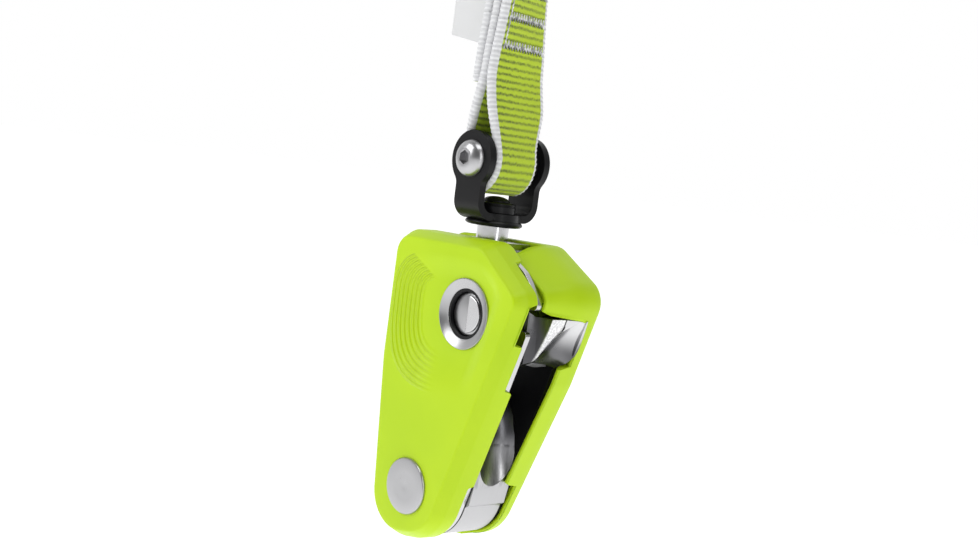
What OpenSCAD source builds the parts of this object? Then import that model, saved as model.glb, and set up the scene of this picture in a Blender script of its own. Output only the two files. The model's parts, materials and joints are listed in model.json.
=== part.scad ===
// Rope brake resistor: a hinged two-shell body that pinches a climbing rope between
// a fixed guide and a grooved brake block, hung from a swivel fork and a sewn sling.
// X runs towards the rope side, Y from the opening half to the fixed half, Z up.

/* [Body] */
// Height of the side plates' top edge above the pivot rivet
plate_top = 80.5; // [79:0.5:81.5]
// Thickness of each steel side plate
plate_t = 2; // [1.5:0.1:2.4]
// Clear width of the rope channel between the side plates
channel_w = 16; // [15:0.5:17]
// Depth of the front cover from its face to the front plate
front_depth = 9.5; // [9:0.5:10]
// Depth of the rear cover behind the rear plate
rear_depth = 5.5; // [5:0.5:6]
// Radius of the plates' round bottom end, about the pivot rivet
heel_r = 16.4; // [16:0.2:17]
// Wall thickness of the moulded covers
cover_wall = 2.2; // [1.8:0.1:2.6]
// Width of the bevelled frame around each cover's face
bevel = 3; // [2:0.25:3.5]

/* [Latch] */
// Distance of the latch from the pivot rivet, towards the rope side
latch_x = 15.6; // [15:0.2:17]
// Height of the latch above the pivot rivet
latch_z = 58.8; // [58:0.2:60]
// Outer diameter of the steel latch ring
ring_d = 22.5; // [21:0.5:23]
// Diameter of the push button
button_d = 14; // [13:0.5:15]
// Travel of the push button
button_travel = 3; // [2:0.5:3]

/* [Swivel] */
// Distance of the swivel axis from the pivot rivet, towards the rope side
swivel_x = 4.8; // [4:0.2:7]
// Diameter of the swivel shaft
shaft_d = 10.5; // [9:0.5:10.5]
// Height of the fork's pin above the pivot rivet
pin_z = 107.3; // [107:0.1:109]
// Outer width of the fork
fork_w = 26.6; // [26:0.2:28]
// Radius of the fork's round ears
ear_r = 9.1; // [8.5:0.1:9.4]
// Angle between the fork and the body as they hang
fork_yaw = 0; // [-20:5:20]

/* [Sling] */
// Width of the webbing
web_w = 24; // [23:0.5:25]
// Thickness of one leg of the webbing
web_t = 3.1; // [2.8:0.1:3.2]
// Distance from the fork's pin to the centre of the top eye
sling_len = 83.2; // [80:0.1:110]
// Twist between the fork and the top eye
sling_twist = 12; // [0:1:20]
// Radius of the thimble sleeve that the lower eye runs on
sleeve_r = 6.4; // [6:0.1:6.8]

/* [Hidden] */

e = 0.05;
plate_f0 = front_depth;
plate_f1 = plate_f0 + plate_t;
plate_r0 = plate_f1 + channel_w;
plate_r1 = plate_r0 + plate_t;
back_y = plate_r1 + rear_depth;
mid_y = (plate_f1 + plate_r0) / 2;
part_gap = 0.4;
lip = 1.8;
bevel_y = 5;
rear_bevel = 2.4;
rear_rim_y = plate_r0 - 3;
rivet_r = 9.2;
rivet_pin_r = 5;
fit = 0.05;
ring_r = ring_d / 2;
ring_t = 2;
ring_bore_r = button_d / 2 + 0.9;
button_r = button_d / 2;
button_sink = 3.4;
housing_r = button_r + 1.6;
stud_r = 3;
yoke_z0 = 68;
yoke_z1 = 82;
yoke_x0 = -8;
yoke_x1 = 23;
neck_r = 3;
flange_z = 86.4;
base_z = 88.2;
fork_t = 2.5;
fork_arm_w = 11.6;
base_top = base_z + fork_t;
collar_h = 3.5;
collar_r = 6.6;
dome_h = 2;
screw_r = 3;
head_r = 6;
head_h = 3.2;
web_fold = 2 * web_t;
eye_z = pin_z + sling_len;
sew_z = pin_z + 24;
twist_h = 12;
tail_len = 32;
label_w = 14;
waist_w = 17.5;
tack_pitch = 9;
top_eye_r = 9;

// The whole object hangs from its top eye, which is the origin.
module hung() {
    translate([-swivel_x, -mid_y, -eye_z]) children();
}

// Turns the fork and sling about the swivel axis.
module yawed() {
    hung() translate([swivel_x, mid_y, 0]) rotate([0, 0, fork_yaw]) children();
}

// Extrudes an outline drawn in X and Z from y0 to y1.
module slab(y0, y1) {
    translate([0, y1, 0]) rotate([90, 0, 0]) linear_extrude(height = y1 - y0) children();
}

// A round bar along Y.
module bar(x, z, r, y0, y1, n = 64) {
    translate([x, y0, z]) rotate([-90, 0, 0]) cylinder(r = r, h = y1 - y0, $fn = n);
}

module disc2(x, z, r, n = 96) {
    translate([x, z]) circle(r = r, $fn = n);
}

// ---------- Outlines ----------

// Each circle is [x, z, radius], listed counterclockwise; a belt pulled tight round
// them gives the outline, and grow moves that outline outwards or inwards.
PLATE_CIRCLES = [[0, 0, heel_r], [34.5, 65, 4.5], [28.5, 70.5, 5], [19, plate_top - 7, 7],
                 [-13.2, plate_top - 6.4, 6.6], [-8.3, 40, 12], [-4, -2.2, 12.9]];
COVER_CIRCLES = [[0, 0, heel_r + 0.8], [34.5, 65, 4.5 + lip], [19, plate_top - 7, 7 + lip],
                 [-13.2, plate_top - 6.6, 6.6 + lip], [-8.3, 40, 12 + lip], [-4, -3, 13.1 + lip]];
REAR_CIRCLES = [[0, 0, heel_r + 1.2], [18.5, 46, 18.4], [35.8, 66.4, 8.2],
                [22, plate_top - 6.2, 8.3], [-13.2, plate_top - 6.6, 6.6 + lip],
                [-8.3, 40, 12 + lip], [-4, -3, 13.1 + lip]];

// The direction in which the straight run from circle a to circle b faces.
function facing(a, b) = let (dx = b[0] - a[0], dz = b[1] - a[1])
    atan2(dz, dx) - acos((a[2] - b[2]) / norm([dx, dz]));

function arc(c, a0, a1, r) = let (n = max(1, ceil((a1 - a0) / 5)))
    [for (k = [0:n]) let (a = a0 + (a1 - a0) * k / n) [c[0] + r * cos(a), c[1] + r * sin(a)]];

function belt(circles, grow) = let (n = len(circles))
    [for (i = [0:n - 1])
        let (c = circles[i],
             a0 = facing(circles[(i + n - 1) % n], c),
             turn = (facing(c, circles[(i + 1) % n]) - a0 + 720) % 360)
        each arc(c, a0, a0 + turn, max(c[2] + grow, 0.4))];

module plate_outline(grow = 0) {
    polygon(belt(PLATE_CIRCLES, grow));
}

module cover_outline(grow = 0) {
    polygon(belt(COVER_CIRCLES, grow));
}

module rear_outline(grow = 0) {
    polygon(belt(REAR_CIRCLES, grow));
}

// Along the rope side the front cover's rim is cut back, which bares the plate's edge:
// [depth that the rim keeps, x0, x1, z0, z1].
CUT_BACKS = [[front_depth - 0.2, 2, 40, -30, 3.5], [front_depth - 1.2, 20, 50, 36.6, 51.8],
             [bevel_y - 0.4, 24, 50, 51.7, 65.5], [front_depth - 0.2, 24, 50, 65.4, 90]];

// ---------- Sling ----------

module eye_outline(r, joint_z, slack = 0) {
    difference() {
        hull() {
            circle(r = r + web_t, $fn = 48);
            translate([0, -slack]) circle(r = r + web_t, $fn = 48);
            translate([-web_fold / 2, joint_z]) square([web_fold, 1]);
        }
        hull() {
            circle(r = r, $fn = 48);
            translate([0, -slack]) circle(r = r, $fn = 48);
            translate([-0.2, joint_z - 3]) square([0.4, 1]);
        }
    }
}

module lower_eye() {
    near = -fork_w / 2 + fork_t + 0.6;
    far = near + waist_w;
    intersection() {
        translate([0, 0, pin_z]) slab(-web_w / 2, web_w / 2)
            eye_outline(sleeve_r + 0.1, sew_z - pin_z - 1, 1);
        rotate([90, 0, 90]) linear_extrude(height = 40, center = true)
            polygon([[near, pin_z - 20], [far, pin_z - 20], [far, pin_z + ear_r - 3],
                     [web_w / 2, pin_z + ear_r + 12], [web_w / 2, sew_z + 1],
                     [-web_w / 2, sew_z + 1], [-web_w / 2, pin_z + ear_r + 5],
                     [near, pin_z + ear_r]]);
    }
}

module sling() {
    color("#8fd61e") yawed() {
        lower_eye();
        translate([-web_fold / 2, -web_w / 2, sew_z - 1]) cube([web_fold, web_w, twist_h / 2 + 2]);
        rotate([0, 0, sling_twist]) {
            translate([-web_fold / 2, -web_w / 2, sew_z + twist_h / 2])
                cube([web_fold, web_w, eye_z - sew_z - twist_h / 2 - 20]);
            translate([-web_fold / 2 - web_t, -web_w / 2, sew_z + twist_h - 10])
                cube([web_t + e, web_w, tail_len]);
            translate([0, 0, eye_z]) mirror([0, 0, 1]) slab(-web_w / 2, web_w / 2)
                eye_outline(top_eye_r, 21);
        }
    }
}

module sling_label() {
    color("#e4e6e8") yawed() rotate([0, 0, sling_twist])
        translate([-web_fold / 2 - web_t - label_w, -web_w / 2 + 1.5, sew_z + twist_h + 1])
            cube([label_w, 0.5, 21]);
}

module sling_bar_tacks() {
    color("#dfe3df") yawed() rotate([0, 0, sling_twist])
        for (x = [-web_fold / 2 - web_t - 0.5, web_fold / 2], row = [0:2])
            translate([x, -9.5, sew_z + twist_h - 0.5 + row * tack_pitch])
                cube([0.5, 19, 2.6]);
}

// ---------- Fork and swivel ----------

module fork_profile() {
    half = fork_w / 2;
    top = pin_z + ear_r;
    difference() {
        offset(r = 6, $fn = 48) offset(r = -6)
            translate([-half, base_z]) square([fork_w, 60]);
        offset(r = 3.5, $fn = 48) offset(r = -3.5)
            translate([-half + fork_t, base_top]) square([fork_w - 2 * fork_t, 80]);
        translate([-half - 1, top]) square([fork_w + 2, 80]);
    }
}

module fork() {
    color("#1d1e20") yawed() difference() {
        union() {
            intersection() {
                rotate([90, 0, 90]) linear_extrude(height = 2 * ear_r, center = true)
                    fork_profile();
                slab(-fork_w, fork_w) offset(r = -4, $fn = 64) offset(r = 4, $fn = 64) {
                    translate([0, pin_z]) circle(r = ear_r, $fn = 96);
                    translate([-fork_arm_w / 2, base_z - 1])
                        square([fork_arm_w, pin_z - base_z + 1]);
                }
            }
            translate([0, 0, base_z]) cylinder(r = 8, h = fork_t, $fn = 72);
        }
        bar(0, pin_z, screw_r + fit, -fork_w, fork_w);
        translate([0, 0, base_z - 1]) cylinder(r = neck_r + fit, h = fork_t + 2, $fn = 64);
    }
}

module pin_screw() {
    y0 = -fork_w / 2 - head_h;
    color("#c9cbcd") yawed() difference() {
        union() {
            bar(0, pin_z, screw_r, y0 + 1, fork_w / 2 + 2.6);
            translate([0, y0, pin_z]) rotate([-90, 0, 0])
                rotate_extrude($fn = 72)
                    polygon([[0, 0], [head_r - 2.6, 0], [head_r - 1.2, 0.5], [head_r - 0.3, 1.6],
                             [head_r, head_h], [0, head_h]]);
        }
        translate([0, y0 - 1, pin_z]) rotate([-90, 30, 0]) cylinder(r = 2.3, h = 3.4, $fn = 6);
    }
}

module pin_nut() {
    y0 = fork_w / 2;
    color("#c9cbcd") yawed() difference() {
        union() {
            bar(0, pin_z, head_r, y0, y0 + 1);
            translate([0, y0 + 1 - e, pin_z]) rotate([-90, 0, 0])
                cylinder(r = head_r - 0.6, h = 2, $fn = 6);
        }
        bar(0, pin_z, screw_r, y0 - 1, y0 + 5);
    }
}

module pin_sleeve() {
    half = fork_w / 2 - fork_t - 0.1;
    color("#2b2d30") yawed() difference() {
        bar(0, pin_z, sleeve_r, -half, half);
        bar(0, pin_z, screw_r + fit, -half - 1, half + 1);
    }
}

// The thick thrust washer that lies inside the fork, on its base.
module swivel_collar() {
    color("#26282b") yawed() translate([0, 0, base_top]) rotate_extrude($fn = 96)
        polygon([[neck_r + fit, 0], [collar_r, 0], [collar_r, collar_h - 0.6],
                 [collar_r - 0.6, collar_h], [neck_r + fit, collar_h]]);
}

module swivel_flange() {
    h = base_z - flange_z;
    color("#1d1e20") yawed() translate([0, 0, flange_z]) rotate_extrude($fn = 96)
        polygon([[neck_r + fit, 0], [7.6, 0], [8.8, h * 0.2], [9.4, h * 0.55], [9.4, h], [neck_r + fit, h]]);
}

module swivel_shaft() {
    color("#b9bbbd") hung() translate([swivel_x, mid_y, 0]) {
        translate([0, 0, yoke_z0 - 5]) cylinder(r = neck_r + 1, h = 5 + e, $fn = 64);
        translate([0, 0, yoke_z0]) cylinder(r = shaft_d / 2, h = flange_z - yoke_z0, $fn = 72);
        translate([0, 0, flange_z - e]) cylinder(r = neck_r, h = base_top + collar_h + 1 - flange_z,
            $fn = 64);
    }
}

module swivel_dome() {
    color("#1d1e20") hung() translate([swivel_x, mid_y, base_top + collar_h])
        difference() {
        rotate_extrude($fn = 72)
            polygon([[0, 0], [4.3, 0], [4.3, 0.6], [3.7, 1.3], [2.4, dome_h - 0.2], [0, dome_h]]);
        translate([0, 0, -e]) cylinder(r = neck_r, h = 1 + 0.01, $fn = 64);
    }
}

module shaft_nut() {
    color("#8f9193") hung() translate([swivel_x, mid_y, yoke_z0 - 4]) difference() {
        cylinder(r = 6.4, h = 4, $fn = 6);
        translate([0, 0, -1]) cylinder(r = neck_r + 1, h = 6, $fn = 64);
    }
}

// ---------- Fixed half ----------

module top_yoke() {
    color("#b4b6b8") hung() difference() {
        slab(plate_f1 + part_gap, plate_r0) union() {
            translate([yoke_x0, yoke_z0 + 2]) square([yoke_x1 - yoke_x0, yoke_z1 - yoke_z0 - 4]);
            translate([yoke_x0 + 3, yoke_z0]) square([yoke_x1 - yoke_x0 - 8, yoke_z1 - yoke_z0]);
        }
        translate([yoke_x0 - 1, rear_rim_y - 0.2, plate_top - 0.6]) cube([40, 10, 10]);
        translate([swivel_x, mid_y, yoke_z0 - 1])
            cylinder(r = shaft_d / 2, h = yoke_z1 - yoke_z0 + 2, $fn = 72);
        bar(yoke_x1 - 5, yoke_z0 + 6, 2, plate_r0 - 8, plate_r0 + 1, 48);
    }
}

module rear_side_plate() {
    color("#1c1d1f") hung() difference() {
        slab(plate_r0, plate_r1) plate_outline(-0.4);
        bar(0, 0, rivet_pin_r, plate_r0 - 1, plate_r1 + 1);
        bar(30, 58, 2, plate_r0 - 1, plate_r1 + 1, 48);
        bar(24, 50, 2, plate_r0 - 1, plate_r1 + 1, 48);
        bar(yoke_x1 - 5, yoke_z0 + 6, 2, plate_r0 - 1, plate_r1 + 1, 48);
        for (p = rear_screw_places) bar(p[0], p[1], 1.5, plate_r0 + 0.6, plate_r1 + 1, 32);
    }
}

rear_screw_places = [[-13, 73], [-14, 38], [21, 27]];

module rear_shell() {
    hull() {
        slab(rear_rim_y, back_y - rear_bevel) rear_outline();
        slab(back_y - 0.1, back_y) rear_outline(-rear_bevel);
    }
}

module rear_cover() {
    color("#8ccf1f") hung() difference() {
        union() {
            rear_shell();
            shoulder();
        }
        slab(rear_rim_y - 1, plate_r1) plate_outline(-0.3);
        slab(rear_rim_y - 1, plate_r0) plate_outline(0.4);
        translate([2, rear_rim_y - 1, -30]) cube([38, plate_r1 - 0.2 - rear_rim_y + 1, 33.5]);
        translate([33, rear_rim_y - 1, 44.5]) cube([17, guide_y1 + 0.2 - rear_rim_y + 1, 16.9]);
        slab(plate_r1 - e, back_y - cover_wall) difference() {
            plate_outline(-bevel - 1);
            for (p = rear_screw_places) disc2(p[0], p[1], 3.6, 32);
        }
        for (p = rear_screw_places) {
            bar(p[0], p[1], 1.5, plate_r1 - 1, back_y + 1, 32);
            bar(p[0], p[1], 2.8, back_y - 1.6, back_y + 1, 32);
        }
        bar(0, 0, rivet_r + 0.2, plate_r1 - 1, back_y + 1, 72);
    }
}

// The shoulder that closes the gap over the rope guide. It grows from the front plate's
// outline to the rear cover's, and is solid above the guide.
module shoulder() {
    y0 = plate_f1 + part_gap;
    intersection() {
        difference() {
            hull() {
                slab(y0, y0 + 0.1) plate_outline(0.3);
                slab(rear_rim_y, rear_rim_y + 1) rear_outline(-0.2);
            }
            slab(y0 - 1, rear_rim_y + 2) intersection() {
                plate_outline(-2.4);
                square([60, 67.2]);
            }
        }
        slab(y0, rear_rim_y + 1) polygon([[23.6, 61.5], [50, 61.5], [50, 90], [23.6, 90]]);
    }
}

module rear_screw(i) {
    p = rear_screw_places[i];
    color("#77797b") hung() difference() {
        union() {
            bar(p[0], p[1], 1.5, plate_r0 + 0.7, back_y - 1.5, 32);
            bar(p[0], p[1], 2.7, back_y - 1.6, back_y - 0.2, 32);
        }
        translate([p[0], back_y - 1, p[1]]) rotate([-90, 0, 0]) cylinder(r = 1.2, h = 2, $fn = 6);
    }
}

module rear_screw_top() {
    rear_screw(0);
}

module rear_screw_mid() {
    rear_screw(1);
}

module rear_screw_low() {
    rear_screw(2);
}

// The fixed upper guide. A scoop leads the rope in along its lower right side, an upright
// hollow clears the latch side, and its end reaches past the rear plate's edge.
guide_y1 = plate_r0 + 1.2;

module rope_guide() {
    y0 = plate_f1 + part_gap;
    color("#b2b3b5") hung() difference() {
        union() {
            slab(y0, plate_r0)
                polygon([[34.6, 61.2], [43.2, 61.2], [41.4, 54.5], [37.4, 48.5], [32, 45.3],
                         [25, 43.5], [16, 44.5], [5, 48], [4, 60], [9, 62.6], [12.8, 62.6],
                         [14, 66.5], [30, 66.5]]);
            slab(plate_r0 - 1, guide_y1)
                polygon([[39.2, 61.2], [43.2, 61.2], [41.4, 54.5], [39.4, 49.6], [37, 49.6]]);
        }
        translate([39.8, 0, 60]) rotate([0, 18.6, 0]) translate([0, 0, -20])
            linear_extrude(height = 40)
                polygon([[0, 5], [0, 22], [3.8, 29.7], [20, 29.7], [20, 5]]);
        intersection() {
            translate([38, 24.6, 49.8]) rotate([0, 122, 208])
                cylinder(r = 7, h = 70, center = true, $fn = 72);
            translate([0, 0, 30]) cube([60, plate_r0 + 0.5, 40]);
        }
        translate([39.5, y0 - 2.3, 40]) cylinder(r = 6.4, h = 30, $fn = 64);
        bar(latch_x, latch_z, stud_r, y0 - 1, plate_r0 - 6, 48);
        bar(30, 58, 2, plate_r0 - 8, plate_r0 + 1, 48);
        bar(24, 50, 2, plate_r0 - 4, plate_r0 + 1, 48);
    }
}

// The brake block: a round heel about the pivot, and a rope groove over its top.
module brake_block() {
    y0 = plate_f1 + part_gap;
    color("#aeb0b2") hung() difference() {
        slab(y0, plate_r0) union() {
            disc2(0, 0, heel_r + 0.1);
            polygon([[15.9, -4], [17.6, -3], [18.7, 2], [19.3, 6], [20, 10], [20, 14], [19.3, 20],
                     [17.4, 26], [14.4, 30.4], [8.4, 34.8], [0, 36.7], [-8.4, 34.8], [-14, 28],
                     [-16.2, 16], [-heel_r, 0]]);
        }
        translate([0, mid_y, 17]) rotate([90, 0, 0]) rotate([0, 0, -2])
            rotate_extrude(angle = 210, $fn = 96) translate([25.4, 0]) circle(r = 9.4, $fn = 64);
        translate([49.5, mid_y, 17]) rotate([90, 0, 0]) rotate_extrude($fn = 144) {
            translate([24.1, 0]) circle(r = 9.4, $fn = 64);
            translate([0, -9.4]) square([24.1, 18.8]);
        }
        bar(0, 0, rivet_pin_r, y0 - 1, plate_r0 + 1, 64);
    }
}

module guide_pin(x, z, y0) {
    color("#9a9c9e") hung() bar(x, z, 2, y0, plate_r1, 48);
}

module guide_pin_upper() {
    guide_pin(30, 58, plate_r0 - 8);
}

module guide_pin_lower() {
    guide_pin(24, 50, plate_r0 - 4);
}

module yoke_pin() {
    guide_pin(yoke_x1 - 5, yoke_z0 + 6, plate_r0 - 8);
}

module pivot_rivet() {
    color("#c4c6c8") hung() {
        bar(0, 0, rivet_r, -1, -0.1, 96);
        bar(0, 0, rivet_pin_r, -0.2, plate_r1 + 1.6, 64);
    }
}

module pivot_washer() {
    color("#a9abad") hung() difference() {
        bar(0, 0, rivet_r - 0.4, plate_r1, plate_r1 + 1.6, 72);
        bar(0, 0, rivet_pin_r, plate_r1 - 1, plate_r1 + 3, 64);
    }
}

module latch_stud() {
    color("#a9abad") hung() difference() {
        bar(latch_x, latch_z, stud_r, plate_f1 + part_gap, plate_r0 - 6, 48);
        bar(latch_x, latch_z, 1.2, plate_f1, plate_f1 + 4, 32);
    }
}

// ---------- Opening half ----------

front_screw_places = [[-14, 52], [-9, 18]];

module front_cover() {
    color("#93d61a") hung() difference() {
        hull() {
            slab(0, 0.1) cover_outline(-bevel);
            slab(bevel_y, plate_f1) cover_outline();
        }
        slab(plate_f0, plate_f1 + 1) plate_outline(0.1);
        for (c = CUT_BACKS) translate([c[1], c[0], c[3]]) cube([c[2] - c[1], 9, c[4] - c[3]]);
        slab(cover_wall, plate_f0 + 1) difference() {
            plate_outline(-bevel - cover_wall);
            disc2(latch_x, latch_z, housing_r + 2, 64);
            disc2(0, 0, rivet_pin_r + 4, 64);
            for (p = front_screw_places) disc2(p[0], p[1], 3.4, 32);
        }
        bar(latch_x, latch_z, ring_r, -1, ring_t, 96);
        bar(latch_x, latch_z, housing_r, -1, plate_f0 + 1, 72);
        bar(0, 0, rivet_pin_r + 1.6, -1, plate_f0 + 1, 72);
        for (p = front_screw_places) bar(p[0], p[1], 1.5, cover_wall, plate_f0 + 1, 32);
    }
}

module front_side_plate() {
    color("#b0b2b4") hung() difference() {
        slab(plate_f0, plate_f1) difference() {
            offset(r = 1.5, $fn = 32) offset(r = -3, $fn = 32) offset(r = 1.5, $fn = 32)
                difference() {
                    plate_outline();
                    translate([31.5, 56.5]) square([20, 7]);
                }
        }
        bar(0, 0, rivet_pin_r + 1.6, plate_f0 - 1, plate_f1 + 1, 72);
        bar(latch_x, latch_z, housing_r, plate_f0 - 1, plate_f1 + 1, 72);
        for (p = front_screw_places) bar(p[0], p[1], 1.5, plate_f0 - 1, plate_f1 + 1, 32);
    }
}

module latch_ring() {
    color("#cfd1d3") hung() translate([latch_x, 0, latch_z]) rotate([-90, 0, 0])
        rotate_extrude($fn = 120)
            polygon([[ring_bore_r, 0.6], [ring_bore_r + 0.6, 0], [ring_r - 0.4, 0], [ring_r, 0.4],
                     [ring_r, ring_t], [ring_bore_r, ring_t]]);
}

// The cup that the button slides in; its neck ends at the inner face of the plate.
module latch_housing() {
    color("#6f7173") hung() difference() {
        bar(latch_x, latch_z, housing_r, ring_t, plate_f1, 72);
        bar(latch_x, latch_z, button_r + fit, ring_t - 1, plate_f1 - 1.2, 72);
        bar(latch_x, latch_z, stud_r + 0.3, ring_t, plate_f1 + 1, 48);
    }
}

module pivot_bush() {
    color("#8a7a4a") hung() difference() {
        bar(0, 0, rivet_pin_r + 1.6, 0.1, plate_f1, 72);
        bar(0, 0, rivet_pin_r + fit, -1, plate_f1 + 1, 64);
    }
}

module front_screw(i) {
    p = front_screw_places[i];
    color("#77797b") hung() bar(p[0], p[1], 1.5, cover_wall, plate_f1 - 0.2, 32);
}

module front_screw_left() {
    front_screw(0);
}

module front_screw_low() {
    front_screw(1);
}

module latch_button() {
    y1 = button_sink + 1.8;
    color("#c2c4c6") hung() difference() {
        union() {
            bar(latch_x, latch_z, button_r, button_sink, y1, 72);
            bar(latch_x, latch_z, stud_r - 0.2, y1 - e, plate_f1 - button_travel + 0.2, 48);
        }
        translate([latch_x, button_sink, latch_z]) rotate([0, 0, 9])
            translate([-2 * button_r - 1, -1.4, -button_r]) cube([2 * button_r, 2, 2 * button_r]);
    }
}

module button_cap() {
    color("#e4e6e8") hung() difference() {
        bar(latch_x, latch_z, button_r, button_sink - 0.8, button_sink, 72);
        bar(latch_x, latch_z, button_r - 1.2, button_sink - 1, button_sink + 1, 72);
    }
}

module button_clip() {
    y0 = plate_f1 - 1.2 - button_travel - 0.9;
    color("#5c5e60") hung() difference() {
        bar(latch_x, latch_z, stud_r + 1.4, y0, y0 + 0.7, 48);
        bar(latch_x, latch_z, stud_r - 0.2, y0 - 1, y0 + 1, 48);
    }
}

module button_spring() {
    y0 = button_sink + 1.8;
    color("#9ea0a2") hung() difference() {
        bar(latch_x, latch_z, button_r - 0.6, y0, plate_f1 - 1.2, 48);
        bar(latch_x, latch_z, button_r - 1.6, y0 - 1, plate_f1, 48);
    }
}

sling();
sling_label();
sling_bar_tacks();
fork();
pin_screw();
pin_nut();
pin_sleeve();
swivel_collar();
swivel_flange();
swivel_shaft();
swivel_dome();
shaft_nut();
top_yoke();
rear_side_plate();
rear_cover();
rear_screw_top();
rear_screw_mid();
rear_screw_low();
rope_guide();
brake_block();
pivot_rivet();
pivot_washer();
guide_pin_upper();
guide_pin_lower();
yoke_pin();
latch_stud();
front_cover();
front_side_plate();
latch_ring();
latch_housing();
pivot_bush();
front_screw_left();
front_screw_low();
latch_button();
button_cap();
button_clip();
button_spring();
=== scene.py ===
# %% [markdown]
# # A rope brake resistor
# This lesson dresses a finished machine model. The frame that is loaded first holds every solid at
# its true size. Each cell then makes one visible piece, such as a moulded cover or the webbing,
# from bmesh operators, and gives it a finish made of shader nodes.

import json
import math
import bpy
import bmesh
from mathutils import Matrix, Vector


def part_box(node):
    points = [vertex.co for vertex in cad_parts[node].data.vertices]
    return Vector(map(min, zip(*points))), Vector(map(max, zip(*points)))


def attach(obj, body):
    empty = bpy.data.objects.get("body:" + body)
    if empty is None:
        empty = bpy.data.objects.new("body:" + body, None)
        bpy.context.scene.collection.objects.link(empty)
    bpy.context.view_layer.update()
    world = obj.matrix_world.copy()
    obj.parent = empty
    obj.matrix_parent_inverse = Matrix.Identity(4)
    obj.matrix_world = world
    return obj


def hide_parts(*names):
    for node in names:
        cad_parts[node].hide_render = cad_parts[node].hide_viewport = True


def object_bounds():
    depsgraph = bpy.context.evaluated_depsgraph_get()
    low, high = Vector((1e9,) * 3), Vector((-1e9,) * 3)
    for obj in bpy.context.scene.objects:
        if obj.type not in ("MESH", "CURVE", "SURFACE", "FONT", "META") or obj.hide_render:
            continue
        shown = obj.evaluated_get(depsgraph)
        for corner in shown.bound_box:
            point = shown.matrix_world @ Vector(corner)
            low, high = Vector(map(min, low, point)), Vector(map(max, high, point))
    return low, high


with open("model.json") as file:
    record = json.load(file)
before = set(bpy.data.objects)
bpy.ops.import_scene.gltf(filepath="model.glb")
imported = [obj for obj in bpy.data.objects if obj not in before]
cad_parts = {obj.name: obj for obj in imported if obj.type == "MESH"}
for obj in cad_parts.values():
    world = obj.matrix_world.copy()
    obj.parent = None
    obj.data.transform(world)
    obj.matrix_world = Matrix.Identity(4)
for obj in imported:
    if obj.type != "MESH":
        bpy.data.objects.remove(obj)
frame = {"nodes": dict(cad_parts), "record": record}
CAD_BOX = [list(corner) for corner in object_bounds()]
MM = 0.001
print("frame of", len(frame["nodes"]), "nodes")

# %% [markdown]
# The drawing of such a device starts from its pivot rivet, so the lesson does too. `at` turns
# millimetres from that rivet into the frame's metres: x towards the rope side, y from the face of
# the front cover backwards, z up.

# %% The drawing's own origin
def middle(low, high):
    return (low + high) / 2


rivet_low, rivet_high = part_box("pivot_rivet")
ORIGIN = Vector((middle(rivet_low.x, rivet_high.x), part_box("front_cover")[0].y,
                 middle(rivet_low.z, rivet_high.z)))


def at(x, y, z):
    return ORIGIN + Vector((x, y, z)) * MM


def mm_box(node):
    low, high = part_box(node)
    return (low - ORIGIN) / MM, (high - ORIGIN) / MM


def mm_centre(node):
    return middle(*mm_box(node))


PLATE_FRONT, PLATE_BACK = (corner.y for corner in mm_box("front_side_plate"))
REAR_PLATE_FRONT, REAR_PLATE_BACK = (corner.y for corner in mm_box("rear_side_plate"))
BACK = mm_box("rear_cover")[1].y
MID_Y = middle(PLATE_BACK, REAR_PLATE_FRONT)
SWIVEL = mm_centre("swivel_shaft")
LATCH = mm_centre("latch_ring")
PIN = mm_centre("pin_sleeve")
EYE_Z = -ORIGIN.z / MM
print("plates", PLATE_FRONT, PLATE_BACK, REAR_PLATE_FRONT, REAR_PLATE_BACK, "pin", PIN)

# %% [markdown]
# The camera comes first, so that every test picture shows the same view. A camera is three
# directions and a place: `back` points from the object to the lens, and the roll tips the other
# two, because the device hangs a little askew in its picture.

# %% Camera
AZIMUTH, ELEVATION, ROLL = (math.radians(angle) for angle in (46.4, 4.3, 7.15))
DISTANCE, LENS = 447.6, 51.0
AIM_RIGHT, AIM_UP = 26.7, 68.1

back = Vector((math.sin(AZIMUTH) * math.cos(ELEVATION), -math.cos(AZIMUTH) * math.cos(ELEVATION),
               math.sin(ELEVATION)))
level = Vector((math.cos(AZIMUTH), math.sin(AZIMUTH), 0))
right = level * math.cos(ROLL) + back.cross(level) * math.sin(ROLL)
up = back.cross(right)
camera = bpy.data.objects.new("camera", bpy.data.cameras.new("camera"))
bpy.context.scene.collection.objects.link(camera)
camera.data.lens = LENS
camera.data.sensor_width = 36
camera.data.clip_start = 0.01
lens_at = at(*(right * AIM_RIGHT + up * AIM_UP + back * DISTANCE))
turned_to = Matrix((right, up, back)).transposed().to_4x4()
camera.matrix_world = Matrix.Translation(lens_at) @ turned_to
bpy.context.scene.camera = camera
print("camera at", tuple(round(v, 4) for v in lens_at))

# %% [markdown]
# Shader maths is easier to read as sums than as boxes and wires. A `Wire` holds one socket, and
# adding or multiplying two wires adds the Math node that does it. Everything else comes from
# `Nodes.node`, which makes one node with its settings and feeds its sockets.

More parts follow.
